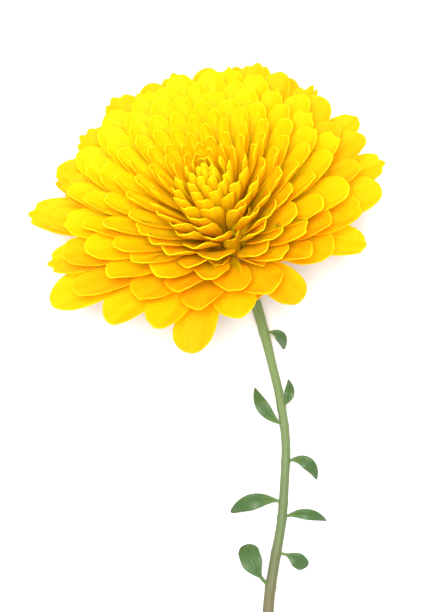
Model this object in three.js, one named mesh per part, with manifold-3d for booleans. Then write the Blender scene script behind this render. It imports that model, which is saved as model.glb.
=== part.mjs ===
// A cut double chrysanthemum with a short stem, lying on a flat surface.
//
// The flower rests on the florets at the back of its head and on the lower part of its stem.
// Its face is turned up and towards +Y, and the stem runs towards -Y with its cut end last.
// Everything is in millimetres, +Z up, with the surface at z = 0.
//
// The head is a spiral of strap-shaped ray florets on a domed receptacle, which is the swollen top
// of the stem. The outer florets are a mesh each. The inner ones, packed close round the eye, are
// joined in one solid. A cup of green bracts holds them from behind, and small leaves stand at the
// nodes of the stem.
import * as THREE from "three";
import { mergeVertices } from "three/addons/utils/BufferGeometryUtils.js";
import Module from "manifold-3d";

const DEGREE = Math.PI / 180;
const GAP = 0.3; // between pieces that meet

// Head
const HEAD_RADIUS = 43.5; // from the head's axis to the tips of the widest florets
const HEAD_HEIGHT = 33; // from the receptacle's rim to the eye
const RIM_HEIGHT = 11; // mean height of the outermost tips above the receptacle's rim
const RIM_SWAY = 6; // the tips at the back stand this much higher, and those in front lower
const HEAD_TILT = 39 * DEGREE; // from vertical, towards the back of the head
const HEAD_TURN = 20 * DEGREE; // turn of that tilt about vertical
const HEAD_CLEARANCE = 20; // height of the receptacle's rim above the surface

// The florets in front are shorter, most of all over the stem, and their outermost ones droop.
const FRONT_AZIMUTH = 262 * DEGREE;
const FRONT_SPREAD = 62 * DEGREE;
const FRONT_SHORTENING = 12;
const FRONT_DROP = 5;
const FRONT_DROOP = 35 * DEGREE;
const STEM_AZIMUTH = 271 * DEGREE;
const STEM_SPREAD = 9 * DEGREE;
const STEM_SHORTENING = 11;
const LOBE_AZIMUTH = 233 * DEGREE;
const LOBE_SPREAD = 14 * DEGREE;
const LOBE_LENGTHENING = 5;

// The florets at the back are longer, and the outermost ones lie lower and rest on the surface.
const BACK_AZIMUTH = 95 * DEGREE;
const BACK_SPREAD = 60 * DEGREE;
const BACK_LENGTHENING = 6;
const BACK_DROP = 10;
const BACK_REACH = 4.5; // extra length of the outermost ones
const LEFT_AZIMUTH = 178 * DEGREE;
const LEFT_SPREAD = 45 * DEGREE;
const LEFT_LENGTHENING = 4;
const OUTERMOST = [0.88, 0.98]; // how far out the ones that droop or drop start, and reach it fully
const LOBE_START = [0.8, 0.88];

// Florets
const FLORET_COUNT = 190;
const OUTER_COUNT = 44; // florets with a mesh of their own
const INNER_STEP = 2; // every second one of the inner florets is in the joined solid
const GOLDEN_ANGLE = 137.508 * DEGREE;
const SPIRAL_START = -2.6 * DEGREE;
const FLORET_THICKNESS = 0.4;
const FLORET_BASE_WIDTH = 1.3;
const EYE_FLORET_WIDTH = 2.6;
const RIM_FLORET_WIDTH = 9.4;
const BASE_ANGLE = 90 * DEGREE; // at the eye; angles are from the receptacle's plane, outwards
const BASE_LEAN = 40 * DEGREE; // less than that at the rim
const TIP_ANGLE = 150 * DEGREE;
const TIP_LEAN = 138 * DEGREE;
const TIP_SCATTER = 0.6;
const HEIGHT_SCATTER = 0.15;
const BEND_SCATTER = 0.6;
const OUTER_GRID = [7, 4]; // rows and columns of faces along and across a floret
const INNER_GRID = [4, 2];

// The middle florets lean to either side of a parting at the front.
const PARTING_AZIMUTH = 272 * DEGREE;
const PARTING_SPREAD = 24 * DEGREE;
const PARTING_PUSH = 10 * DEGREE;

// Receptacle and bracts
const RECEPTACLE_RADIUS = 9;
const RECEPTACLE_HEIGHT = 5;
const RECEPTACLE_DEPTH = 6.5; // from its rim down to the stem's neck
const RECEPTACLE_STEPS = 5;
const RECEPTACLE_SIDES = 20;
const CAP_RADIUS = 6.6;
const CAP_THICKNESS = 1.2; // layer on the receptacle that the inner florets grow from
const CAP_STEPS = 4;
const CAP_SIDES = 16;
const BRACT_COUNT = 13;
const BRACT_THICKNESS = 0.7;
const BRACT_NOTCH = 1.2; // depth of the notches between their tips
const BRACT_STEPS = 4; // columns of faces for each
// From the neck to the tips: distance from the head's axis and height above the receptacle's rim.
const BRACT_PROFILE = [[2.6, -6.9], [5.6, -5], [8.2, -2.8], [9.7, -0.4], [10.2, 0.8]];

// Stem, from the receptacle to the cut end
const STEM_PATH = [
  [1.1, -3, 16.1],
  [3.3, -7.4, 11.6],
  [6, -12.5, 8.2],
  [8.4, -19.9, 5.8],
  [11.1, -30.4, 3.2],
  [13.2, -39.5, 1.9],
  [14.6, -50.1, 1.3],
  [14.3, -60.5, 1.25],
  [13.5, -71, 1.3],
  [11.7, -81.4, 1.4],
  [10.4, -90, 1.45],
  [9.8, -98, 1.5],
];
const STEM_SIDES = 12;
const STEM_STEPS = 30;
const NECK_RADIUS = 1.7;
const STEM_RADIUS = 1.15;
const FOOT_RADIUS = 1.45;

// Leaves: distance down the stem (0 to 1), direction on the stem's sides and at the tip, rise from
// the surface at the stem, length, greatest width and how blunt the tip is (0 to 1).
const LEAF_THICKNESS = 0.45;
const LEAF_FOLD = 0.25; // rise of its edges for each millimetre from its middle
const LEAF_STALK = 0.2; // least width, as a part of the greatest
const LEAF_GRID = [6, 2];
const LEAVES = [
  { at: 0.235, heading: 10, end: -80, rise: 40, length: 10, width: 2.8, blunt: 0.2 },
  { at: 0.483, heading: 150, end: 108, rise: 30, length: 14, width: 3.4, blunt: 0.1 },
  { at: 0.435, heading: 50, end: 96, rise: 45, length: 9, width: 2.6, blunt: 0.1 },
  { at: 0.575, heading: 22, end: -68, rise: 40, length: 14.5, width: 3.3, blunt: 0.1 },
  { at: 0.68, heading: 160, end: 216, rise: 35, length: 17, width: 4.2, blunt: 0.2 },
  { at: 0.72, heading: 28, end: -28, rise: 40, length: 14.5, width: 2.8, blunt: 0.1 },
  { at: 0.9, heading: 135, end: 104, rise: 30, length: 13.5, width: 5.4, blunt: 1 },
  { at: 0.81, heading: -5, end: -52, rise: 25, length: 9, width: 4, blunt: 0.8 },
];

const smoothstep = (low, high, x) => THREE.MathUtils.smoothstep(x, low, high);
const turned = (angle) => Math.atan2(Math.sin(angle), Math.cos(angle));
const bell = (angle, spread) => Math.exp(-((turned(angle) / spread) ** 2));
const plateau = (angle, spread) => Math.exp(-((turned(angle) / spread) ** 4));

// A repeatable number from -1 to 1 for item i and quality k.
const scatter = (i, k) => {
  const s = Math.sin(i * 12.9898 + k * 78.233) * 43758.5453;
  return 2 * (s - Math.floor(s)) - 1;
};

const head = new THREE.Group();
head.rotation.set(-HEAD_TILT, 0, HEAD_TURN, "ZXY");
head.position.z = HEAD_CLEARANCE;
head.updateMatrixWorld(true);

// Bends what would be under the surface, or almost touch it, up to lie just above it.
const PRESS_SOFTNESS = 0.7;
function pressedToSurface(point, clearance) {
  const below = (point.z - clearance) / PRESS_SOFTNESS;
  point.z = clearance + PRESS_SOFTNESS * Math.log1p(Math.exp(below));
  return point;
}

// --- Solids from rows of points --------------------------------------------------------------

// A closed geometry from its outside faces, each a list of three or four points.
function closedGeometry(faces) {
  const positions = [];
  for (const face of faces)
    for (let k = 2; k < face.length; k++)
      for (const p of [face[0], face[k - 1], face[k]]) positions.push(p.x, p.y, p.z);
  const geometry = new THREE.BufferGeometry();
  geometry.setAttribute("position", new THREE.Float32BufferAttribute(positions, 3));
  return mergeVertices(geometry, 1e-4);
}

// The unit normal of a sheet of rows at one point.
function sheetNormal(rows, r, c) {
  const before = rows[Math.max(0, r - 1)][c];
  const after = rows[Math.min(rows.length - 1, r + 1)][c];
  const left = rows[r][Math.max(0, c - 1)];
  const right = rows[r][Math.min(rows[r].length - 1, c + 1)];
  const alongRows = new THREE.Vector3().subVectors(after, before);
  const acrossRow = new THREE.Vector3().subVectors(right, left);
  return alongRows.cross(acrossRow).normalize();
}

// A sheet of rows of points, given a thickness.
function sheetGeometry(rows, thickness) {
  const offset = (distance) =>
    rows.map((row, r) => row.map((p, c) => p.clone().addScaledVector(sheetNormal(rows, r, c), distance)));
  const top = offset(thickness / 2);
  const bottom = offset(-thickness / 2);
  const lastRow = rows.length - 1;
  const lastColumn = rows[0].length - 1;
  const faces = [];
  for (let r = 0; r < lastRow; r++) {
    for (let c = 0; c < lastColumn; c++) {
      faces.push([top[r][c], top[r + 1][c], top[r + 1][c + 1], top[r][c + 1]]);
      faces.push([bottom[r][c], bottom[r][c + 1], bottom[r + 1][c + 1], bottom[r + 1][c]]);
    }
    faces.push([top[r][0], bottom[r][0], bottom[r + 1][0], top[r + 1][0]]);
    const [near, far] = [top, bottom].map((side) => [side[r][lastColumn], side[r + 1][lastColumn]]);
    faces.push([near[0], near[1], far[1], far[0]]);
  }
  for (let c = 0; c < lastColumn; c++) {
    faces.push([top[0][c], top[0][c + 1], bottom[0][c + 1], bottom[0][c]]);
    faces.push([top[lastRow][c], bottom[lastRow][c], bottom[lastRow][c + 1], top[lastRow][c + 1]]);
  }
  return closedGeometry(faces);
}

// A solid from closed rings of points, each ring a step further along, with flat ends.
function ringsGeometry(rings) {
  const sides = rings[0].length;
  const faces = [];
  for (let r = 0; r + 1 < rings.length; r++)
    for (let s = 0; s < sides; s++) {
      const t = (s + 1) % sides;
      faces.push([rings[r][s], rings[r][t], rings[r + 1][t], rings[r + 1][s]]);
    }
  faces.push([...rings[0]].reverse());
  faces.push(rings.at(-1));
  return closedGeometry(faces);
}

const wasm = await Module();
wasm.setup();

function toManifold(geometry) {
  return new wasm.Manifold(new wasm.Mesh({
    numProp: 3,
    vertProperties: geometry.getAttribute("position").array,
    triVerts: new Uint32Array(geometry.index.array),
  }));
}

function fromManifold(solid) {
  const mesh = solid.getMesh();
  const geometry = new THREE.BufferGeometry();
  geometry.setAttribute("position", new THREE.BufferAttribute(mesh.vertProperties, 3));
  geometry.setIndex(new THREE.BufferAttribute(mesh.triVerts, 1));
  return geometry;
}

// Joins geometries that overlap in one solid, and fills any hollow shut inside it.
function joined(geometries) {
  const solid = geometries.map(toManifold).reduce((sum, next) => sum.add(next));
  const outside = solid.decompose().reduce((a, b) => (a.volume() > b.volume() ? a : b));
  return fromManifold(outside);
}

function piece(name, geometry, material) {
  const mesh = new THREE.Mesh(geometry, material);
  mesh.name = name;
  return mesh;
}

// --- Florets -----------------------------------------------------------------------------------

// The shape of floret i, counted from the rim (0) to the eye, in the head's frame: +Z is the head's
// axis, and the first number of a pair is the distance from it.
function floretShape(i) {
  const outward = 1 - i / FLORET_COUNT; // 1 at the rim, near 0 at the eye
  const spiral = i * GOLDEN_ANGLE + SPIRAL_START;
  const middle = smoothstep(0.25, 0.45, outward) * (1 - smoothstep(0.72, 0.9, outward));
  const side = Math.sign(Math.sin(spiral - PARTING_AZIMUTH));
  const azimuth = spiral + side * PARTING_PUSH * middle * bell(spiral - PARTING_AZIMUTH, PARTING_SPREAD);
  const outermost = smoothstep(...OUTERMOST, outward);
  const lobe = bell(azimuth - LOBE_AZIMUTH, LOBE_SPREAD) * smoothstep(...LOBE_START, outward);
  const back = bell(azimuth - BACK_AZIMUTH, BACK_SPREAD);
  const front = plateau(azimuth - FRONT_AZIMUTH, FRONT_SPREAD);
  const reach = HEAD_RADIUS
    + (BACK_LENGTHENING + BACK_REACH * outermost) * back
    + LEFT_LENGTHENING * bell(azimuth - LEFT_AZIMUTH, LEFT_SPREAD)
    - FRONT_SHORTENING * front
    - STEM_SHORTENING * bell(azimuth - STEM_AZIMUTH, STEM_SPREAD) * outermost
    + LOBE_LENGTHENING * lobe;
  const drop = (BACK_DROP * back + FRONT_DROP * front) * outermost;
  const rim = RIM_HEIGHT + RIM_SWAY * Math.sin(azimuth) - drop;
  const outFraction = outward ** 0.8;
  const height = rim + (HEAD_HEIGHT - rim) * (1 - outFraction ** 2.6);
  const tipDistance = reach * outFraction + scatter(i, 5) * TIP_SCATTER * outward;
  return {
    azimuth,
    base: new THREE.Vector2(RECEPTACLE_RADIUS * outward, RECEPTACLE_HEIGHT * (1 - outward ** 2) + GAP),
    baseAngle: BASE_ANGLE - BASE_LEAN * outward ** 1.5,
    tip: new THREE.Vector2(tipDistance, height + scatter(i, 3) * HEIGHT_SCATTER),
    tipAngle: TIP_ANGLE - TIP_LEAN * outward ** 0.6 - FRONT_DROOP * front * outermost,
    tipReach: 0.15 + 0.25 * outward,
    width: EYE_FLORET_WIDTH + (RIM_FLORET_WIDTH - EYE_FLORET_WIDTH) * outward ** 0.9,
    cup: 0.3 - 0.17 * outward,
    sideBend: scatter(i, 10) * BEND_SCATTER * outward,
  };
}

// Middle line of a floret as a Bezier curve of (distance from the axis, height).
function floretLine({ base, baseAngle, tip, tipAngle, tipReach }) {
  const chord = base.distanceTo(tip);
  const along = (from, angle, distance) =>
    new THREE.Vector2(from.x + Math.cos(angle) * distance, from.y + Math.sin(angle) * distance);
  return new THREE.CubicBezierCurve(
    base,
    along(base, baseAngle, 0.35 * chord),
    along(tip, tipAngle, -tipReach * chord),
    tip,
  );
}

// Half the width at v, from 0 at the base to 1 at the tip: a narrow claw, a broad strap, a round end.
const WIDEST = 0.68;
function floretHalfWidth(width, v) {
  const strap = FLORET_BASE_WIDTH + (width - FLORET_BASE_WIDTH) * smoothstep(0.05, WIDEST, v);
  const past = Math.max(0, (v - WIDEST) / (1.03 - WIDEST));
  return (strap / 2) * Math.sqrt(1 - past ** 2);
}

// Rows of points across the floret's middle surface, from its base to its tip.
function floretRows(shape, [rowCount, columnCount]) {
  const line = floretLine(shape);
  const outwardDirection = new THREE.Vector3(Math.cos(shape.azimuth), Math.sin(shape.azimuth), 0);
  const sideways = new THREE.Vector3(-Math.sin(shape.azimuth), Math.cos(shape.azimuth), 0);
  const rows = [];
  for (let r = 0; r <= rowCount; r++) {
    const v = 1 - (1 - r / rowCount) ** 1.6;
    const middle = line.getPoint(v);
    const tangent = line.getTangent(v);
    const halfWidth = floretHalfWidth(shape.width, v);
    const cupDepth = shape.cup * shape.width * smoothstep(0.15, 0.9, v);
    const row = [];
    for (let c = 0; c <= columnCount; c++) {
      const u = (2 * c) / columnCount - 1;
      const lift = (cupDepth * (u * halfWidth) ** 2) / (shape.width / 2) ** 2;
      const point = new THREE.Vector3(0, 0, middle.y + tangent.x * lift)
        .addScaledVector(outwardDirection, middle.x - tangent.y * lift)
        .addScaledVector(sideways, u * halfWidth + shape.sideBend * v * v);
      row.push(head.worldToLocal(pressedToSurface(head.localToWorld(point), FLORET_THICKNESS)));
    }
    rows.push(row);
  }
  return rows;
}

// Height of the receptacle's dome at a distance from the head's axis.
const domeHeight = (rho) => RECEPTACLE_HEIGHT * (1 - (rho / RECEPTACLE_RADIUS) ** 2);

// The layer that the inner florets grow from, on top of the receptacle.
function heartCap() {
  const bottom = [];
  for (let k = 0; k <= CAP_STEPS; k++) {
    const rho = (k / CAP_STEPS) * CAP_RADIUS;
    bottom.push(new THREE.Vector2(rho, domeHeight(rho) + GAP));
  }
  const top = bottom.map((p) => new THREE.Vector2(p.x, p.y + CAP_THICKNESS)).reverse();
  return latheGeometry([...bottom, ...top], CAP_SIDES);
}

// A closed solid of revolution from a profile that starts and ends on the axis.
function latheGeometry(profile, sides) {
  const geometry = new THREE.LatheGeometry(profile, sides).rotateX(Math.PI / 2);
  geometry.deleteAttribute("uv");
  geometry.deleteAttribute("normal");
  return withoutEmptyTriangles(mergeVertices(geometry, 1e-4));
}

// Where a lathe's profile meets its axis, half of the triangles have no area.
function withoutEmptyTriangles(geometry) {
  const { array } = geometry.index;
  const kept = [];
  for (let k = 0; k < array.length; k += 3) {
    const [a, b, c] = array.slice(k, k + 3);
    if (a !== b && b !== c && c !== a) kept.push(a, b, c);
  }
  geometry.setIndex(kept);
  return geometry;
}

// --- Green parts -------------------------------------------------------------------------------

const stemCurve = new THREE.CatmullRomCurve3(STEM_PATH.map((p) => new THREE.Vector3(...p)));

// The stem's radius at t, from 0 at the neck to 1 at the cut end.
function stemRadius(t) {
  const slim = NECK_RADIUS + (STEM_RADIUS - NECK_RADIUS) * smoothstep(0, 0.35, t);
  return slim + (FOOT_RADIUS - STEM_RADIUS) * smoothstep(0.6, 1, t);
}

function stemTube() {
  const frames = stemCurve.computeFrenetFrames(STEM_STEPS, false);
  const rings = [];
  for (let k = 0; k <= STEM_STEPS; k++) {
    const centre = stemCurve.getPointAt(k / STEM_STEPS);
    const radius = stemRadius(k / STEM_STEPS);
    const ring = [];
    for (let s = 0; s < STEM_SIDES; s++) {
      const angle = (s / STEM_SIDES) * 2 * Math.PI;
      ring.push(centre.clone()
        .addScaledVector(frames.normals[k], radius * Math.cos(angle))
        .addScaledVector(frames.binormals[k], radius * Math.sin(angle)));
    }
    rings.push(ring);
  }
  return ringsGeometry(rings);
}

// The swollen top of the stem: a dome above its rim, and a funnel below it.
function receptacle() {
  const profile = [new THREE.Vector2(0, -RECEPTACLE_DEPTH)];
  for (let k = 0; k <= RECEPTACLE_STEPS; k++) {
    const t = k / RECEPTACLE_STEPS;
    const rho = NECK_RADIUS + (RECEPTACLE_RADIUS - NECK_RADIUS) * Math.sin(t * Math.PI / 2);
    profile.push(new THREE.Vector2(rho, -RECEPTACLE_DEPTH * (1 - t) ** 1.4));
  }
  for (let k = 1; k <= RECEPTACLE_STEPS; k++) {
    const rho = RECEPTACLE_RADIUS * (1 - k / RECEPTACLE_STEPS);
    profile.push(new THREE.Vector2(rho, domeHeight(rho)));
  }
  return latheGeometry(profile, RECEPTACLE_SIDES).applyMatrix4(head.matrixWorld);
}

// Rows of the cup of bracts: from the neck out round the receptacle, and up to a pointed rim.
function involucreRows() {
  const rows = BRACT_PROFILE.map(() => []);
  const steps = BRACT_COUNT * BRACT_STEPS;
  for (let s = 0; s <= steps; s++) {
    const angle = (s / steps) * 2 * Math.PI;
    const point = Math.abs((2 * (s % BRACT_STEPS)) / BRACT_STEPS - 1);
    BRACT_PROFILE.forEach(([rho, height], r) => {
      const notch = r === BRACT_PROFILE.length - 1 ? BRACT_NOTCH * (1 - point) : 0;
      rows[r].push(new THREE.Vector3(rho * Math.cos(angle), rho * Math.sin(angle), height - notch));
    });
  }
  return rows;
}

// Width of a leaf at v, from 0 at the stem to 1 at the tip: a blunt one is widest near its tip.
function leafOutline(v, blunt) {
  const belly = Math.sin(Math.PI * v ** (1 + 0.9 * blunt)) ** (0.9 - 0.4 * blunt);
  return Math.max(LEAF_STALK, belly);
}

// Middle line of a leaf: it leaves the stem rising, and bends over until its tip is on the surface.
function leafLine(leaf) {
  const start = stemCurve.getPointAt(leaf.at);
  const flat = (degrees) => new THREE.Vector3(Math.cos(degrees * DEGREE), Math.sin(degrees * DEGREE), 0);
  const end = flat(leaf.end);
  const rise = leaf.rise * DEGREE;
  const lead = flat(leaf.heading).multiplyScalar(Math.cos(rise)).setZ(Math.sin(rise));
  const foot = start.clone().addScaledVector(lead, stemRadius(leaf.at) + GAP + LEAF_THICKNESS / 2);
  const beyond = (alongLead, alongEnd) =>
    foot.clone().addScaledVector(lead, alongLead * leaf.length).addScaledVector(end, alongEnd * leaf.length);
  const tip = beyond(0.45, 0.5).setZ(LEAF_THICKNESS);
  return new THREE.CubicBezierCurve3(foot, beyond(0.35, 0), beyond(0.5, 0.2), tip);
}

function leafRows(leaf, [rowCount, columnCount]) {
  const line = leafLine(leaf);
  const rows = [];
  for (let r = 0; r <= rowCount; r++) {
    const v = r / rowCount;
    const middle = line.getPoint(v);
    const across = new THREE.Vector3(0, 0, 1).cross(line.getTangent(v)).normalize();
    const halfWidth = (leaf.width / 2) * leafOutline(v, leaf.blunt);
    const row = [];
    for (let c = 0; c <= columnCount; c++) {
      const u = (2 * c) / columnCount - 1;
      const point = middle.clone().addScaledVector(across, u * halfWidth);
      point.z += Math.abs(u) * halfWidth * LEAF_FOLD;
      row.push(pressedToSurface(point, LEAF_THICKNESS / 2));
    }
    rows.push(row);
  }
  return rows;
}

// --- Assembly ----------------------------------------------------------------------------------

const petalYellow = new THREE.MeshStandardMaterial({ color: 0xffd800, roughness: 0.6, metalness: 0 });
const heartYellow = new THREE.MeshStandardMaterial({ color: 0xffc400, roughness: 0.6, metalness: 0 });
const stemGreen = new THREE.MeshStandardMaterial({ color: 0x8d9a5a, roughness: 0.7, metalness: 0 });
const leafGreen = new THREE.MeshStandardMaterial({ color: 0x5f7a3c, roughness: 0.65, metalness: 0 });

for (let i = 0; i < OUTER_COUNT; i++) {
  const number = String(i + 1).padStart(2, "0");
  const floret = sheetGeometry(floretRows(floretShape(i), OUTER_GRID), FLORET_THICKNESS);
  head.add(piece(`ray_floret_${number}`, floret, petalYellow));
}

const heart = [heartCap()];
for (let i = OUTER_COUNT + 1; i < FLORET_COUNT; i += INNER_STEP)
  heart.push(sheetGeometry(floretRows(floretShape(i), INNER_GRID), FLORET_THICKNESS));
const heartMesh = piece("heart_florets", joined(heart), heartYellow);
heartMesh.position.z = GAP;
head.add(heartMesh);

head.add(piece("involucre", sheetGeometry(involucreRows(), BRACT_THICKNESS), leafGreen));

const flower = new THREE.Group();
flower.add(head);
flower.add(piece("stem", joined([stemTube(), receptacle()]), stemGreen));
LEAVES.forEach((leaf, k) => {
  const blade = sheetGeometry(leafRows(leaf, LEAF_GRID), LEAF_THICKNESS);
  flower.add(piece(`leaf_${k + 1}`, blade, leafGreen));
});

// The origin is at the middle of the flower, on the surface.
const box = new THREE.Box3().setFromObject(flower, true);
const middle = box.getCenter(new THREE.Vector3());
flower.position.set(-middle.x, -middle.y, -box.min.z);

export default flower;
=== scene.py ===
"""A cut double chrysanthemum lying on a pale floor, seen from above.

Lengths are in millimetres until a mesh is made. The head is built in its own frame, whose +Z is the
head's axis and whose origin is the middle of the receptacle's rim. The head, the stem and the
leaves have the CAD model's sizes. The florets, leaves and bracts are thinner and more detailed than
there. The CAD box of the first ray floret places the flower in the row frame.
"""
import math

import bpy
import numpy as np
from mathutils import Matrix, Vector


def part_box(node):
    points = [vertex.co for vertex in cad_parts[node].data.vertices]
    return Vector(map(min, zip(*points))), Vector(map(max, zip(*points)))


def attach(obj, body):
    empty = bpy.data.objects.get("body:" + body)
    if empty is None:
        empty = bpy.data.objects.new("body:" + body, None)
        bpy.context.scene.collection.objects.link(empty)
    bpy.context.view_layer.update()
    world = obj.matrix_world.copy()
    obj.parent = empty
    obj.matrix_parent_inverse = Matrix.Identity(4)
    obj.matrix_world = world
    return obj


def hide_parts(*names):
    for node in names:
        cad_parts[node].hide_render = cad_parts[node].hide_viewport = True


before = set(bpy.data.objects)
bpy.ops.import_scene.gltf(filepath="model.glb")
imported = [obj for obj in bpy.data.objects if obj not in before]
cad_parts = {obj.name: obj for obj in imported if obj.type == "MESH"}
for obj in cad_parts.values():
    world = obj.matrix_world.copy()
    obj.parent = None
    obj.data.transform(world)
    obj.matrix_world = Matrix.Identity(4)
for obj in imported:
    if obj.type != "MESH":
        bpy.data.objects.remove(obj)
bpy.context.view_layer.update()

MM = 0.001
GOLDEN_ANGLE = math.radians(137.508)

# Head, as in the CAD model
HEAD_RADIUS = 43.5
HEAD_HEIGHT = 33
RIM_HEIGHT = 11
RIM_SWAY = 6
HEAD_TILT = math.radians(39)
HEAD_TURN = math.radians(20)
HEAD_CLEARANCE = 20
FRONT_AZIMUTH = math.radians(262)
FRONT_SPREAD = math.radians(62)
FRONT_SHORTENING = 12
FRONT_DROP = 5
FRONT_DROOP = math.radians(35)
STEM_AZIMUTH = math.radians(271)
STEM_SPREAD = math.radians(9)
STEM_SHORTENING = 11
LOBE_AZIMUTH = math.radians(233)
LOBE_SPREAD = math.radians(14)
LOBE_LENGTHENING = 5
BACK_AZIMUTH = math.radians(95)
BACK_SPREAD = math.radians(60)
BACK_LENGTHENING = 6
BACK_DROP = 10
BACK_REACH = 4.5
LEFT_AZIMUTH = math.radians(178)
LEFT_SPREAD = math.radians(45)
LEFT_LENGTHENING = 4

# Places between the eye (0) and the rim (1) where a change in the florets starts and is complete
OUTERMOST = (0.88, 0.98)
LOBE_START = (0.8, 0.88)
PARTING_START = (0.25, 0.45)
PARTING_END = (0.72, 0.9)

# Florets, as in the CAD model. Base and tip angles are in degrees, from straight outwards (0) to
# along the head's axis (90). They are largest at the eye, and the lean is what they lose at the rim.
FLORET_COUNT = 190
OUTER_COUNT = 44
SPIRAL_START = math.radians(-2.6)
FLORET_BASE_WIDTH = 1.3
EYE_FLORET_WIDTH = 2.6
RIM_FLORET_WIDTH = 9.4
BASE_ANGLE = 90
BASE_LEAN = 40
TIP_ANGLE = 150
TIP_LEAN = 138
TIP_SCATTER = 0.6
HEIGHT_SCATTER = 0.15
BEND_SCATTER = 0.6
PARTING_AZIMUTH = math.radians(272)
PARTING_SPREAD = math.radians(24)
PARTING_PUSH = math.radians(10)
RECEPTACLE_RADIUS = 9
RECEPTACLE_HEIGHT = 5
RECEPTACLE_DEPTH = 6.5
GAP = 0.3

# Floret detail
FLORET_THICKNESS = 0.3
FLORET_CLEARANCE = 0.3
PRESS_SOFTNESS = 0.7
EDGE_THINNING = 0.6  # of a sheet's thickness
EDGE_REACH = 0.99  # of a rounded end's half width; the last of its arc would be too steep
TIP_LENGTH = 0.2  # of the floret's length, taken by its rounded end
RIDGES = 2.5  # lengthwise ridges between the middle and an edge
RIDGE_HEIGHT = 0.14
TOOTH_PLACE = 0.3  # of half the width, from the middle
TOOTH_WIDTH = 0.14
OUTER_GRID = (26, 16)  # rows and columns of faces along and across a floret
INNER_GRID = (22, 10)
PARTING_GRID = (24, 14)
PLACING_GRID = (20, 8)
WHORL_COUNT = 8  # pieces that the inner florets are joined in

# Stem, as in the CAD model: points of its middle line, from the receptacle to the
# cut end
STEM_PATH = [
    (1.1, -3, 16.1),
    (3.3, -7.4, 11.6),
    (6, -12.5, 8.2),
    (8.4, -19.9, 5.8),
    (11.1, -30.4, 3.2),
    (13.2, -39.5, 1.9),
    (14.6, -50.1, 1.3),
    (14.3, -60.5, 1.25),
    (13.5, -71, 1.3),
    (11.7, -81.4, 1.4),
    (10.4, -90, 1.45),
    (9.8, -98, 1.5),
]
NECK_RADIUS = 1.7
STEM_RADIUS = 1.15
FOOT_RADIUS = 1.45

# Stem detail
STEM_RIBS = 7
RIB_DEPTH = 0.05  # of the stem's radius
RIB_LEVEL = 0.9  # where on a rib, from its foot (0) to its top (1), the stem has its plain radius
NODE_SWELLING = 0.1  # of the stem's radius, where a leaf grows
NODE_LENGTH = 0.008  # of the stem's length
STEM_STEPS = 220
STEM_SIDES = 56
CURVE_STEPS = 40  # between two points of the path
RECEPTACLE_STEPS = 12
RECEPTACLE_SIDES = 48

# Leaf detail
LEAF_THICKNESS = 0.4
LEAF_FOLD = 0.28  # rise of its edges for each millimetre from its middle
LEAF_GROOVE_DEPTH = 0.22
LEAF_GROOVE_WIDTH = 0.12  # of half the leaf's width
LEAF_ROUNDING = 0.16  # of a blunt leaf's length, taken by its rounded end
LEAF_SINK = 0.2  # of its foot in the stem
LEAF_GRID = (34, 15)  # rows and columns of points along and across a leaf

# Leaves, as in the CAD model: distance down the stem (0 to 1), directions at the stem and at the tip,
# rise from the surface at the stem, length, greatest width and how blunt the end is
LEAVES = [
    {"at": 0.235, "heading": 10, "end": -80, "rise": 40, "length": 10, "width": 2.8, "blunt": 0.2},
    {"at": 0.483, "heading": 150, "end": 108, "rise": 30, "length": 14, "width": 3.4, "blunt": 0.1},
    {"at": 0.435, "heading": 50, "end": 96, "rise": 45, "length": 9, "width": 2.6, "blunt": 0.1},
    {"at": 0.575, "heading": 22, "end": -68, "rise": 40, "length": 14.5, "width": 3.3, "blunt": 0.1},
    {"at": 0.68, "heading": 160, "end": 216, "rise": 35, "length": 17, "width": 4.2, "blunt": 0.2},
    {"at": 0.72, "heading": 28, "end": -28, "rise": 40, "length": 14.5, "width": 2.8, "blunt": 0.1},
    {"at": 0.9, "heading": 135, "end": 104, "rise": 30, "length": 13.5, "width": 5.4, "blunt": 1},
    {"at": 0.81, "heading": -5, "end": -52, "rise": 25, "length": 9, "width": 4, "blunt": 0.8},
]

# Camera, above the flower
CAMERA_HEIGHT = 520
VIEW_LENGTH = 153  # of the picture's long side, at the receptacle
CAMERA_SENSOR = 36
PICTURE_CENTRE = (-3.1, -15, 0)  # from the middle of the receptacle's rim

# Floor and light, in metres and watts
FLOOR_SIZE = 4
FLOOR_WHITE = 0.95
WORLD_STRENGTH = 0.65
KEY_PLACE = (-0.05, 0.1, 1.0)
KEY_SIZE = 0.4
KEY_POWER = 14

# Colours, each at a place along the piece from its base (0) to its end (1)
PETAL_YELLOW = [(0.0, (1.0, 0.47, 0.0)), (0.45, (0.97, 0.45, 0.0)), (1.0, (0.94, 0.44, 0.0))]
# Painted shade: a darker copy of the petal colour for the drooping front florets, darker still towards
# their tips.
FRONT_PETAL_PAINTED_SHADE = [(0.0, (0.85, 0.4, 0.0)), (0.45, (0.72, 0.37, 0.0)), (1.0, (0.66, 0.35, 0.0))]
# Painted light: a lighter, yellower copy of the petal colour for the inner florets, which lifts the shade
# deep in the head.
HEART_YELLOW_PAINTED_LIGHT = [(0.0, (1.0, 0.54, 0.0)), (0.45, (1.0, 0.54, 0.0)), (1.0, (1.0, 0.54, 0.0))]
STEM_GREEN = [
    (0.0, (0.22, 0.33, 0.08)),
    (0.3, (0.17, 0.24, 0.08)),
    (0.75, (0.13, 0.18, 0.065)),
    (0.95, (0.16, 0.135, 0.06)),
]
RECEPTACLE_YELLOW = [(0.0, (0.26, 0.38, 0.1)), (0.6, (0.7, 0.42, 0.02)), (1.0, (0.95, 0.5, 0.0))]
LEAF_GREEN = [(0.0, (0.15, 0.24, 0.07)), (0.4, (0.06, 0.13, 0.03)), (1.0, (0.055, 0.12, 0.028))]
BRACT_GREEN = [(0.0, (0.2, 0.27, 0.1)), (1.0, (0.16, 0.22, 0.06))]

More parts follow.
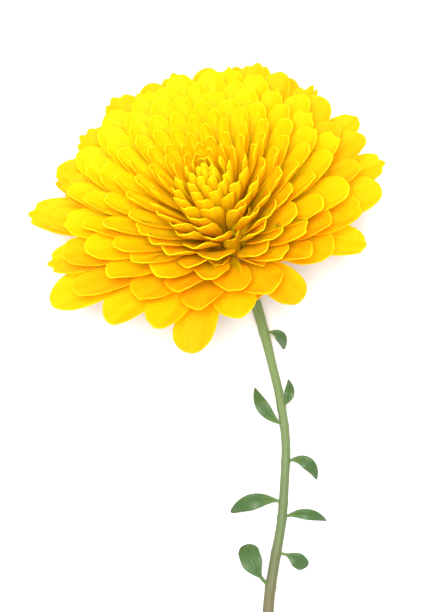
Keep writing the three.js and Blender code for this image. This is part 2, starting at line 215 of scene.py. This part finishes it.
# Streaks: what a colour is multiplied by where their noise is low, and where it is high
PETAL_STREAKS = [(0.35, (0.93, 0.9, 0.8)), (0.65, (1, 1, 1))]
GREEN_STREAKS = [(0.3, (0.7, 0.72, 0.66)), (0.7, (1.1, 1.1, 1.05))]


def smoothstep(low, high, x):
    t = np.clip((x - low) / (high - low), 0, 1)
    return t * t * (3 - 2 * t)


def turned(angle):
    return math.atan2(math.sin(angle), math.cos(angle))


def bell(angle, spread):
    return math.exp(-((turned(angle) / spread) ** 2))


def plateau(angle, spread):
    return math.exp(-((turned(angle) / spread) ** 4))


def scatter(i, k):
    """A repeatable number from -1 to 1 for item i and quality k."""
    s = math.sin(i * 12.9898 + k * 78.233) * 43758.5453
    return 2 * (s - math.floor(s)) - 1


def unit(vectors):
    return vectors / np.linalg.norm(vectors, axis=-1, keepdims=True)


def pressed_to_surface(points, clearance):
    """Bends what would be under the surface, or almost touch it, up to lie just above it."""
    below = (points[..., 2] - clearance) / PRESS_SOFTNESS
    points[..., 2] = clearance + PRESS_SOFTNESS * np.logaddexp(0, below)
    return points


def head_to_world(points):
    """Points of the head's frame, turned and raised as the head is."""
    ct, st = math.cos(HEAD_TILT), math.sin(HEAD_TILT)
    cz, sz = math.cos(HEAD_TURN), math.sin(HEAD_TURN)
    x, y, z = points[..., 0], points[..., 1], points[..., 2]
    back = y * ct + z * st
    up = z * ct - y * st
    return np.stack([x * cz - back * sz, x * sz + back * cz, up + HEAD_CLEARANCE], axis=-1)


# --- Meshes ------------------------------------------------------------------------------------


def sheet_arrays(points, thickness, u, v):
    """Vertices, faces and UVs of a sheet of rows of points, thinner towards its edges."""
    rows, columns = points.shape[:2]
    along = np.gradient(points, axis=0)
    across = np.gradient(points, axis=1)
    normal = unit(np.cross(along, across))
    edge = 1 - EDGE_THINNING * np.abs(u) ** 4
    half = (thickness / 2 * edge)[..., None] * np.ones_like(points)
    upper = (points + normal * half).reshape(-1, 3)
    lower = (points - normal * half).reshape(-1, 3)
    index = np.arange(rows * columns).reshape(rows, columns)
    corners = [index[:-1, :-1], index[1:, :-1], index[1:, 1:], index[:-1, 1:]]
    top = np.stack(corners, axis=-1).reshape(-1, 4)
    bottom = top[:, ::-1] + rows * columns
    ring = np.concatenate([index[0, :-1], index[:-1, -1], index[-1, :0:-1], index[:0:-1, 0]])
    after = np.roll(ring, -1)
    rim = np.stack([ring, after, after + rows * columns, ring + rows * columns], axis=-1)
    place = np.stack([np.broadcast_to(u, index.shape), np.broadcast_to(v, index.shape)], axis=-1)
    uv = np.tile(place.reshape(-1, 2), (2, 1))
    return np.concatenate([upper, lower]), np.concatenate([top, bottom, rim]), uv


def tube_arrays(rings):
    """Vertices, faces and UVs of a solid from closed rings of points, with flat ends."""
    steps, sides = rings.shape[:2]
    vertices = np.concatenate([rings.reshape(-1, 3), rings[0].mean(0)[None], rings[-1].mean(0)[None]])
    index = np.arange(steps * sides).reshape(steps, sides)
    after = np.roll(index, -1, axis=1)
    wall = np.stack([index[:-1], after[:-1], after[1:], index[1:]], axis=-1).reshape(-1, 4)
    first, last = steps * sides, steps * sides + 1
    ends = [np.stack([after[0], index[0], np.full(sides, first), np.full(sides, first)], -1)]
    ends.append(np.stack([index[-1], after[-1], np.full(sides, last), np.full(sides, last)], -1))
    side, step = np.meshgrid(np.linspace(-1, 1, sides), np.linspace(0, 1, steps))
    uv = np.concatenate([np.stack([side, step], -1).reshape(-1, 2), [[0, 0], [0, 1]]])
    return vertices, np.concatenate([wall, *ends]), uv


def merged(parts):
    """One set of arrays from several."""
    vertices = []
    faces = []
    uvs = []
    count = 0
    for part_vertices, part_faces, part_uv in parts:
        vertices.append(part_vertices)
        faces.append(part_faces + count)
        uvs.append(part_uv)
        count += len(part_vertices)
    return np.concatenate(vertices), np.concatenate(faces), np.concatenate(uvs)


def add_piece(name, arrays, material, offset, nodes):
    """A smooth mesh object of the flower, from arrays in millimetres before the frame's offset."""
    vertices, faces, uv = arrays
    mesh = bpy.data.meshes.new(name)
    loops = [list(dict.fromkeys(face)) for face in faces.tolist()]
    mesh.from_pydata(((vertices + offset) * MM).tolist(), [], loops)
    layer = mesh.uv_layers.new(name="lengthwise")
    corners = np.empty(len(mesh.loops), dtype=np.int32)
    mesh.loops.foreach_get("vertex_index", corners)
    layer.data.foreach_set("uv", uv[corners].astype(np.float32).ravel())
    mesh.polygons.foreach_set("use_smooth", [True] * len(mesh.polygons))
    mesh.materials.append(material)
    piece = bpy.data.objects.new(name, mesh)
    bpy.context.scene.collection.objects.link(piece)
    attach(piece, "root")
    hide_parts(*nodes)


# --- Florets -----------------------------------------------------------------------------------


def floret_shape(i):
    """The shape of floret i, counted from the rim (0) to the eye, in the head's frame."""
    outward = 1 - i / FLORET_COUNT
    spiral = i * GOLDEN_ANGLE + SPIRAL_START
    middle = smoothstep(*PARTING_START, outward) * (1 - smoothstep(*PARTING_END, outward))
    side = math.copysign(1, math.sin(spiral - PARTING_AZIMUTH))
    azimuth = spiral + side * PARTING_PUSH * middle * bell(spiral - PARTING_AZIMUTH, PARTING_SPREAD)
    outermost = smoothstep(*OUTERMOST, outward)
    lobe = LOBE_LENGTHENING * bell(azimuth - LOBE_AZIMUTH, LOBE_SPREAD)
    back = bell(azimuth - BACK_AZIMUTH, BACK_SPREAD)
    front = plateau(azimuth - FRONT_AZIMUTH, FRONT_SPREAD)
    reach = HEAD_RADIUS + (BACK_LENGTHENING + BACK_REACH * outermost) * back
    reach -= FRONT_SHORTENING * front
    reach += LEFT_LENGTHENING * bell(azimuth - LEFT_AZIMUTH, LEFT_SPREAD)
    reach -= STEM_SHORTENING * bell(azimuth - STEM_AZIMUTH, STEM_SPREAD) * outermost
    reach += lobe * smoothstep(*LOBE_START, outward)
    droop = FRONT_DROOP * front * outermost
    drop = (BACK_DROP * back + FRONT_DROP * front) * outermost
    rim = RIM_HEIGHT + RIM_SWAY * math.sin(azimuth) - drop
    out_fraction = outward**0.8
    height = rim + (HEAD_HEIGHT - rim) * (1 - out_fraction**2.6)
    tip_distance = reach * out_fraction + scatter(i, 5) * TIP_SCATTER * outward
    return {
        "azimuth": azimuth,
        "outward": outward,
        "base": np.array([RECEPTACLE_RADIUS * outward, RECEPTACLE_HEIGHT * (1 - outward**2) + GAP]),
        "base_angle": math.radians(BASE_ANGLE - BASE_LEAN * outward**1.5),
        "tip": np.array([tip_distance, height + scatter(i, 3) * HEIGHT_SCATTER]),
        "tip_angle": math.radians(TIP_ANGLE - TIP_LEAN * outward**0.6) - droop,
        "droop": droop,
        "tip_reach": 0.15 + 0.25 * outward,
        "width": EYE_FLORET_WIDTH + (RIM_FLORET_WIDTH - EYE_FLORET_WIDTH) * outward**0.9,
        "cup": 0.3 - 0.17 * outward,
        "side_bend": scatter(i, 10) * BEND_SCATTER * outward,
    }


def floret_line(shape, v):
    """Points and unit directions of a floret's middle line, as (distance from the axis, height)."""
    base, tip = shape["base"], shape["tip"]
    chord = np.linalg.norm(tip - base)
    start = np.array([math.cos(shape["base_angle"]), math.sin(shape["base_angle"])])
    end = np.array([math.cos(shape["tip_angle"]), math.sin(shape["tip_angle"])])
    first = base + start * 0.35 * chord
    second = tip - end * shape["tip_reach"] * chord
    v = v[..., None]
    w = 1 - v
    point = w**3 * base + 3 * w**2 * v * first + 3 * w * v**2 * second + v**3 * tip
    tangent = w**2 * (first - base) + 2 * w * v * (second - first) + v**2 * (tip - second)
    return point, unit(tangent)


def floret_half_width(width, v):
    """A narrow claw that widens to a broad strap."""
    return (FLORET_BASE_WIDTH + (width - FLORET_BASE_WIDTH) * smoothstep(0.05, 0.72, v)) / 2


def floret_points(shape, detail, grid):
    """Rows of points across a floret's middle surface, with their place across and along it."""
    rows, columns = grid
    s = 1 - (1 - np.linspace(0, 1, rows + 1)[:, None]) ** 1.3
    u = np.linspace(-1, 1, columns + 1)[None, :]
    round_end = 1 - TIP_LENGTH * (1 - np.sqrt(1 - (EDGE_REACH * u) ** 2))
    right_tooth = np.exp(-(((u - TOOTH_PLACE) / TOOTH_WIDTH) ** 2))
    left_tooth = np.exp(-(((u + TOOTH_PLACE) / TOOTH_WIDTH) ** 2))
    teeth = detail["notch"] * (right_tooth + left_tooth)
    v = s * detail["stretch"] * (round_end - teeth + detail["slant"] * u)
    middle, tangent = floret_line(shape, v)
    half_width = floret_half_width(shape["width"] * detail["breadth"], v)
    spread = u * half_width
    strength = smoothstep(0.15, 0.9, v)
    lift = shape["cup"] * shape["width"] * strength * u**2
    lift = lift + detail["hood"] * smoothstep(0.68, 1, v) ** 2 * (0.4 + u**2)
    ridges = np.cos(2 * math.pi * RIDGES * u / 2 + detail["phase"])
    lift = lift - RIDGE_HEIGHT * ridges * strength * (1 - u**4)
    lift = lift + detail["twist"] * spread * v
    lift = lift + detail["wave"] * np.sin(9 * v + detail["phase"]) * u**3 * strength
    azimuth = shape["azimuth"] + detail["lean"]
    rho = middle[..., 0] - tangent[..., 1] * lift
    side = spread + shape["side_bend"] * v**2
    x = math.cos(azimuth) * rho - math.sin(azimuth) * side
    y = math.sin(azimuth) * rho + math.cos(azimuth) * side
    z = middle[..., 1] + tangent[..., 0] * lift
    world = head_to_world(np.stack([x, y, z], axis=-1))
    return pressed_to_surface(world, FLORET_CLEARANCE), u, v


PLAIN_DETAIL = {
    "stretch": 1,
    "breadth": 1,
    "slant": 0,
    "notch": 0,
    "hood": 0,
    "twist": 0,
    "wave": 0,
    "lean": 0,
    "phase": 0,
}


def floret_detail(i, outward):
    """How floret i differs from its neighbours: size, teeth, hooded end, twist, waves and ridges."""
    beside_eye = 1 - smoothstep(0.15, 0.5, outward)
    return {
        "stretch": 1 + 0.035 * scatter(i, 20) * outward,
        "breadth": 1.16 + 0.14 * scatter(i, 26) - 0.36 * beside_eye,
        "slant": 0.03 * scatter(i, 28),
        "notch": 0.05 * max(0, scatter(i, 21)),
        "hood": (1.1 + 0.9 * scatter(i, 22)) * (0.5 + 0.5 * outward),
        "twist": 0.2 * scatter(i, 23),
        "wave": 0.5 * scatter(i, 24) * outward,
        "lean": math.radians(2.2) * scatter(i, 27) * (1 - beside_eye),
        "phase": math.pi * scatter(i, 25),
    }


def floret_arrays(i, grid):
    shape = floret_shape(i)
    detail = floret_detail(i, shape["outward"])
    points, u, v = floret_points(shape, detail, grid)
    vertices, faces, uv = sheet_arrays(points, FLORET_THICKNESS, u, v)
    return vertices, faces, uv + [3 * i, 0]


def frame_offset():
    """From the place where this script builds the flower to its place in the row frame."""
    points, _, _ = floret_points(floret_shape(0), PLAIN_DETAIL, PLACING_GRID)
    built = (points.reshape(-1, 3).min(0) + points.reshape(-1, 3).max(0)) / 2
    low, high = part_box("ray_floret_01")
    offset = (np.array(low) + np.array(high)) / 2 / MM - built
    offset[2] = 0
    return offset


PARTING_BASE = (6.5, 3.0)  # distance from the axis, height
PARTING_BASE_ANGLE = 60
PARTING_TIP_REACH = 0.35
PARTING_CUP = 0.3
PARTING_BEND = 1.2
PARTING_NOTCH = 0.06
PARTING_PLACE = 0.6  # between the eye (0) and the rim (1), for their detail

# Small, folded florets that fill the parting: direction, tip (distance from the axis, height) and
# its slope, width, twist and number of the pattern of their ridges.
PARTING_FLORETS = [
    {"azimuth": 300, "tip": (11, 19), "slope": 70, "width": 7, "twist": 0.1, "pattern": 301},
    {"azimuth": 250, "tip": (17, 13), "slope": 25, "width": 6, "twist": -0.45, "pattern": 302},
    {"azimuth": 262, "tip": (21, 8), "slope": -10, "width": 4.6, "twist": 0.6, "pattern": 303},
    {"azimuth": 287, "tip": (20, 10.5), "slope": 8, "width": 6.6, "twist": -0.5, "pattern": 304},
    {"azimuth": 324, "tip": (24, 12), "slope": 28, "width": 4.6, "twist": 0.4, "pattern": 305},
    {"azimuth": 274, "tip": (13, 16.5), "slope": 55, "width": 4.6, "twist": 0.3, "pattern": 306},
]


def parting_floret_arrays(floret):
    shape = {
        "azimuth": math.radians(floret["azimuth"]),
        "base": np.array(PARTING_BASE),
        "base_angle": math.radians(PARTING_BASE_ANGLE),
        "tip": np.array(floret["tip"], dtype=float),
        "tip_angle": math.radians(floret["slope"]),
        "tip_reach": PARTING_TIP_REACH,
        "width": floret["width"],
        "cup": PARTING_CUP,
        "side_bend": PARTING_BEND * scatter(floret["pattern"], 1),
    }
    detail = floret_detail(floret["pattern"], PARTING_PLACE)
    detail |= {"twist": floret["twist"], "notch": PARTING_NOTCH, "lean": 0}
    points, u, v = floret_points(shape, detail, PARTING_GRID)
    vertices, faces, uv = sheet_arrays(points, FLORET_THICKNESS, u, v)
    return vertices, faces, uv + [3 * floret["pattern"], 0]


def add_florets(petal, shaded_front_petal, heart, offset):
    for i in range(OUTER_COUNT):
        node = f"ray_floret_{i + 1:02d}"
        # Drooping front florets take the darker copy of the petal colour, which is painted shade.
        droops = floret_shape(i)["droop"] > 0.5 * FRONT_DROOP
        material = shaded_front_petal if droops else petal
        add_piece(f"petal_{i + 1:02d}", floret_arrays(i, OUTER_GRID), material, offset, [node])
    # The inner florets and those of the parting take the lighter copy of the petal colour: painted light.
    inner = np.array_split(np.arange(OUTER_COUNT, FLORET_COUNT), WHORL_COUNT)
    for whorl, members in enumerate(inner):
        arrays = merged([floret_arrays(i, INNER_GRID) for i in members.tolist()])
        add_piece(f"inner_petals_{whorl + 1}", arrays, heart, offset, ["heart_florets"])
    arrays = merged([parting_floret_arrays(floret) for floret in PARTING_FLORETS])
    add_piece("parting_petals", arrays, heart, offset, ["heart_florets"])


# --- Green parts -------------------------------------------------------------------------------


def stem_curve(t):
    """Points of a smooth curve through STEM_PATH, at equal steps of length for t from 0 to 1."""
    path = np.array(STEM_PATH, dtype=float)
    padded = np.concatenate([[2 * path[0] - path[1]], path, [2 * path[-1] - path[-2]]])
    fine = []
    for k in range(len(path) - 1):
        a, b, c, d = padded[k : k + 4]
        s = np.linspace(0, 1, CURVE_STEPS, endpoint=False)[:, None]
        square = (2 * a - 5 * b + 4 * c - d) * s**2
        cube = (3 * b - a - 3 * c + d) * s**3
        fine.append(0.5 * (2 * b + (c - a) * s + square + cube))
    fine = np.concatenate([*fine, path[-1:]])
    distance = np.concatenate([[0], np.cumsum(np.linalg.norm(np.diff(fine, axis=0), axis=1))])
    wanted = np.asarray(t) * distance[-1]
    return np.stack([np.interp(wanted, distance, fine[:, k]) for k in range(3)], axis=-1)


def stem_radius(t):
    slim = NECK_RADIUS + (STEM_RADIUS - NECK_RADIUS) * smoothstep(0, 0.35, t)
    return slim + (FOOT_RADIUS - STEM_RADIUS) * smoothstep(0.6, 1, t)


def stem_arrays():
    """The ribbed stem, a little swollen where each leaf grows."""
    t = np.linspace(0, 1, STEM_STEPS)
    centre = stem_curve(t)
    direction = unit(np.gradient(centre, axis=0))
    sideways = unit(np.cross(direction, [0, 0, 1]))
    upward = np.cross(sideways, direction)
    angle = np.linspace(0, 2 * math.pi, STEM_SIDES, endpoint=False)
    radius = stem_radius(t)
    for leaf in LEAVES:
        radius = radius * (1 + NODE_SWELLING * np.exp(-(((t - leaf["at"]) / NODE_LENGTH) ** 2)))
    ribs = 1 + RIB_DEPTH * (np.abs(np.cos(angle * STEM_RIBS / 2)) - RIB_LEVEL)
    spoke = radius[:, None, None] * ribs[None, :, None]
    cosine = np.cos(angle)[None, :, None]
    sine = np.sin(angle)[None, :, None]
    turn = sideways[:, None] * cosine + upward[:, None] * sine
    return tube_arrays(centre[:, None] + spoke * turn)


def lathe_arrays(profile, sides):
    """A solid of revolution in the head's frame, from (distance from the axis, height) pairs."""
    angle = np.linspace(0, 2 * math.pi, sides, endpoint=False)
    rings = [
        np.stack([rho * np.cos(angle), rho * np.sin(angle), np.full(sides, float(height))], axis=-1)
        for rho, height in profile
    ]
    return tube_arrays(head_to_world(np.array(rings)))


def receptacle_arrays():
    """The swollen top of the stem: a funnel below its rim and a dome above it."""
    t = np.linspace(0, 1, RECEPTACLE_STEPS)
    below_rho = NECK_RADIUS + (RECEPTACLE_RADIUS - NECK_RADIUS) * np.sin(t * math.pi / 2)
    below = np.stack([below_rho, -RECEPTACLE_DEPTH * (1 - t) ** 1.4], axis=-1)
    above_rho = RECEPTACLE_RADIUS * (1 - t[1:-1])
    above = np.stack([above_rho, RECEPTACLE_HEIGHT * (1 - (above_rho / RECEPTACLE_RADIUS) ** 2)], axis=-1)
    return lathe_arrays(np.concatenate([below, above]), RECEPTACLE_SIDES)


BRACT_THICKNESS = 0.35
BRACT_POINT = 0.35  # of a bract's length, from where its edges end to its tip
BRACT_GRID = (14, 9)  # rows and columns of points along and across a bract

# Layers of the cup behind the head. A profile is the four control points of a Bezier curve, each
# with its distance from the axis and its height.
BRACT_LAYERS = [
    {
        "count": 13,
        "turn": 0,
        "profile": [(2.4, -7.1), (6, -5.4), (9.0, -2.8), (10.2, 0.1)],
        "width": 4.6,
    },
    {
        "count": 13,
        "turn": 0.24,
        "profile": [(2.2, -7.6), (5.4, -6.5), (8.4, -4.4), (9.6, -2.1)],
        "width": 4,
    },
    {
        "count": 8,
        "turn": 0.1,
        "profile": [(2, -8), (4, -7.6), (6.4, -6.2), (7.8, -4)],
        "width": 3,
    },
]


def bract_arrays(layer, k):
    """One bract of a layer of the cup behind the head."""
    azimuth = 2 * math.pi * k / layer["count"] + layer["turn"]
    profile = np.array(layer["profile"], dtype=float)
    rows, columns = BRACT_GRID
    s = np.linspace(0, 1, rows)[:, None]
    u = np.linspace(-1, 1, columns)[None, :]
    v = s * (1 - BRACT_POINT * np.abs(u) ** 1.6)
    w = 1 - v
    a, b, c, d = profile
    curve = [w**3 * a[n] + 3 * w**2 * v * b[n] + 3 * w * v**2 * c[n] + v**3 * d[n] for n in (0, 1)]
    spread = u * layer["width"] / 2 * (0.5 + 0.5 * smoothstep(0, 0.6, v))
    rho = curve[0] - 0.06 * spread**2
    x = math.cos(azimuth) * rho - math.sin(azimuth) * spread
    y = math.sin(azimuth) * rho + math.cos(azimuth) * spread
    points = head_to_world(np.stack([x, y, curve[1]], axis=-1))
    return sheet_arrays(points, BRACT_THICKNESS, u, v)


def involucre_arrays():
    return merged([bract_arrays(layer, k) for layer in BRACT_LAYERS for k in range(layer["count"])])


def flat_direction(degrees):
    return np.array([math.cos(math.radians(degrees)), math.sin(math.radians(degrees)), 0])


def leaf_outline(v, blunt):
    """Width of a leaf along it: a pointed one is widest in the middle, a blunt one near its tip."""
    stalk = 0.16 * (1 - smoothstep(0.8, 1, v))
    pointed = np.sin(math.pi * np.clip(v, 0, 1) ** 1.1) ** 0.9
    round_tip = smoothstep(0.1, 0.65, v)
    return np.maximum(stalk, pointed * (1 - blunt) + round_tip * blunt)


def leaf_arrays(leaf):
    """A leaf that rises from the stem, bends over, and is folded and grooved along its middle."""
    start = stem_curve(leaf["at"])
    rise = math.radians(leaf["rise"])
    lead = flat_direction(leaf["heading"]) * math.cos(rise) + np.array([0, 0, math.sin(rise)])
    along = flat_direction(leaf["end"])
    foot = start + lead * (float(stem_radius(leaf["at"])) - LEAF_SINK)
    length = leaf["length"]
    tip = foot + lead * length * 0.45 + along * length * 0.5
    tip[2] = LEAF_THICKNESS
    controls = [foot, foot + lead * length * 0.35, foot + lead * length * 0.5 + along * length * 0.2, tip]
    rows, columns = LEAF_GRID
    s = np.linspace(0, 1, rows)[:, None]
    u = np.linspace(-1, 1, columns)[None, :]
    v = s * (1 - LEAF_ROUNDING * leaf["blunt"] * (1 - np.sqrt(1 - (EDGE_REACH * u) ** 2)))
    w = 1 - v
    weights = [w**3, 3 * w**2 * v, 3 * w * v**2, v**3]
    middle = sum(weight[..., None] * control for weight, control in zip(weights, controls))
    slope = [w**2, 2 * w * v, v**2]
    steps = [controls[k + 1] - controls[k] for k in range(3)]
    tangent = unit(sum(weight[..., None] * step for weight, step in zip(slope, steps)))
    across = unit(np.cross([0, 0, 1], tangent))
    outline = leaf_outline(v, leaf["blunt"])
    spread = u * leaf["width"] / 2 * outline
    points = middle + across * spread[..., None]
    groove = LEAF_GROOVE_DEPTH * np.exp(-((u / LEAF_GROOVE_WIDTH) ** 2)) * (1 - v)
    points[..., 2] += np.abs(spread) * LEAF_FOLD - groove
    return sheet_arrays(pressed_to_surface(points, LEAF_THICKNESS / 2), LEAF_THICKNESS, u, v)


def add_green_parts(stem, receptacle, leaf_material, bract, offset):
    add_piece("stem_body", stem_arrays(), stem, offset, ["stem"])
    add_piece("receptacle_body", receptacle_arrays(), receptacle, offset, ["stem"])
    add_piece("bracts", involucre_arrays(), bract, offset, ["involucre"])
    for k, leaf in enumerate(LEAVES):
        node = f"leaf_{k + 1}"
        add_piece(f"leaf_blade_{k + 1}", leaf_arrays(leaf), leaf_material, offset, [node])


# --- Materials ---------------------------------------------------------------------------------


class Nodes:
    """A material's node tree, with short ways to add and join nodes."""

    def __init__(self, name):
        self.material = bpy.data.materials.new(name)
        self.material.use_nodes = True
        self.tree = self.material.node_tree
        self.shader = self.tree.nodes["Principled BSDF"]

    def add(self, kind, **settings):
        node = self.tree.nodes.new(kind)
        for key, value in settings.items():
            setattr(node, key, value)
        return node

    def join(self, source, target):
        self.tree.links.new(source, target)

    def lengthwise(self):
        """Where a point is across (x) and along (y) its sheet or tube."""
        return self.add("ShaderNodeUVMap", uv_map="lengthwise").outputs["UV"]

    def scaled(self, vector, scale):
        node = self.add("ShaderNodeMapping")
        node.inputs["Scale"].default_value = scale
        self.join(vector, node.inputs["Vector"])
        return node.outputs["Vector"]

    def noise(self, vector, scale, detail=3):
        node = self.add("ShaderNodeTexNoise")
        node.inputs["Scale"].default_value = scale
        node.inputs["Detail"].default_value = detail
        self.join(vector, node.inputs["Vector"])
        return node.outputs["Fac"]

    def ramp(self, factor, stops):
        node = self.add("ShaderNodeValToRGB")
        elements = node.color_ramp.elements
        for k, (position, colour) in enumerate(stops):
            element = elements[k] if k < 2 else elements.new(position)
            element.position = position
            element.color = (*colour, 1)
        self.join(factor, node.inputs["Fac"])
        return node.outputs["Color"]

    def mixed(self, factor, first, second, blend="MIX"):
        node = self.add("ShaderNodeMix", data_type="RGBA", blend_type=blend)
        for source, socket in ((factor, node.inputs[0]), (first, node.inputs[6]), (second, node.inputs[7])):
            if isinstance(source, bpy.types.NodeSocket):
                self.join(source, socket)
            elif isinstance(source, tuple):
                socket.default_value = (*source, 1)
            else:
                socket.default_value = source
        return node.outputs[2]

    def bump(self, height, strength, distance):
        node = self.add("ShaderNodeBump")
        node.inputs["Strength"].default_value = strength
        node.inputs["Distance"].default_value = distance
        self.join(height, node.inputs["Height"])
        self.join(node.outputs["Normal"], self.shader.inputs["Normal"])

    def set(self, **values):
        for key, value in values.items():
            self.shader.inputs[key.replace("_", " ")].default_value = value


def petal_material(name, stops):
    """A colour that changes along the floret, with fine lengthwise streaks."""
    nodes = Nodes(name)
    where = nodes.lengthwise()
    split = nodes.add("ShaderNodeSeparateXYZ")
    nodes.join(where, split.inputs[0])
    gradient = nodes.ramp(split.outputs["Y"], stops)
    streaks = nodes.noise(nodes.scaled(where, (7, 0.8, 1)), 2.2)
    shade = nodes.ramp(streaks, PETAL_STREAKS)
    colour = nodes.mixed(0.7, gradient, shade, "MULTIPLY")
    nodes.join(colour, nodes.shader.inputs["Base Color"])
    nodes.bump(streaks, 0.25, 0.0003)
    nodes.set(Roughness=0.7, Subsurface_Weight=0.75, Subsurface_Scale=0.004)
    nodes.set(Subsurface_Radius=(1.0, 0.3, 0.05), Specular_IOR_Level=0.12)
    return nodes.material


def green_material(name, stops, streak_scale, roughness):
    """A colour that changes along the piece, with lengthwise streaks."""
    nodes = Nodes(name)
    where = nodes.lengthwise()
    split = nodes.add("ShaderNodeSeparateXYZ")
    nodes.join(where, split.inputs[0])
    gradient = nodes.ramp(split.outputs["Y"], stops)
    streaks = nodes.noise(nodes.scaled(where, streak_scale), 2.5, 4)
    shade = nodes.ramp(streaks, GREEN_STREAKS)
    colour = nodes.mixed(1.0, gradient, shade, "MULTIPLY")
    nodes.join(colour, nodes.shader.inputs["Base Color"])
    nodes.bump(streaks, 0.3, 0.0002)
    nodes.set(Roughness=roughness)
    return nodes.material


def floor_material():
    nodes = Nodes("pale_floor")
    nodes.set(Base_Color=(FLOOR_WHITE, FLOOR_WHITE, FLOOR_WHITE, 1), Roughness=0.9)
    return nodes.material


# --- Stage -------------------------------------------------------------------------------------


def add_floor():
    bpy.ops.mesh.primitive_plane_add(size=FLOOR_SIZE, location=(0, 0, 0))
    floor = bpy.context.object
    floor.name = "floor"
    floor.data.materials.append(floor_material())


def add_light(name, place, size, power):
    """A square soft light that shines on the flower."""
    data = bpy.data.lights.new(name, "AREA")
    data.size = size
    data.energy = power
    light = bpy.data.objects.new(name, data)
    bpy.context.scene.collection.objects.link(light)
    light.location = place
    direction = -np.array(place)
    horizontal = math.hypot(direction[0], direction[1])
    lean = math.atan2(horizontal, -direction[2])
    turn = math.atan2(-direction[0], direction[1])
    light.rotation_euler = (lean, 0, turn)


def add_world():
    world = bpy.data.worlds.new("studio")
    world.use_nodes = True
    background = world.node_tree.nodes["Background"]
    background.inputs["Color"].default_value = (1, 1, 1, 1)
    background.inputs["Strength"].default_value = WORLD_STRENGTH
    bpy.context.scene.world = world


def add_camera(offset):
    """Straight above the flower, with the picture's top towards +Y."""
    data = bpy.data.cameras.new("camera")
    data.sensor_fit = "VERTICAL"
    data.sensor_height = CAMERA_SENSOR
    data.lens = CAMERA_SENSOR * (CAMERA_HEIGHT - HEAD_CLEARANCE) / VIEW_LENGTH
    data.clip_start = 0.01
    camera = bpy.data.objects.new("camera", data)
    bpy.context.scene.collection.objects.link(camera)
    centre = offset + np.array(PICTURE_CENTRE)
    camera.location = (centre[0] * MM, centre[1] * MM, CAMERA_HEIGHT * MM)
    bpy.context.scene.camera = camera


bpy.context.scene.view_settings.view_transform = "Standard"
offset = frame_offset()
add_camera(offset)
add_world()
add_light("key", KEY_PLACE, KEY_SIZE, KEY_POWER)
add_floor()
petal = petal_material("petal_surface", PETAL_YELLOW)
# The inner florets' colour is lighter than the outer ones': painted light in the head's depths.
heart = petal_material("heart_painted_light", HEART_YELLOW_PAINTED_LIGHT)
# The front florets' colour is darker than the others': painted shade.
shaded_front_petal = petal_material("front_petal_painted_shade", FRONT_PETAL_PAINTED_SHADE)
add_florets(petal, shaded_front_petal, heart, offset)
stem = green_material("stem_surface", STEM_GREEN, (9, 6, 1), 0.6)
receptacle = green_material("receptacle_surface", RECEPTACLE_YELLOW, (5, 3, 1), 0.7)
leaf = green_material("leaf_surface", LEAF_GREEN, (3, 4, 1), 0.5)
bract = green_material("bract_surface", BRACT_GREEN, (4, 2, 1), 0.55)
add_green_parts(stem, receptacle, leaf, bract, offset)
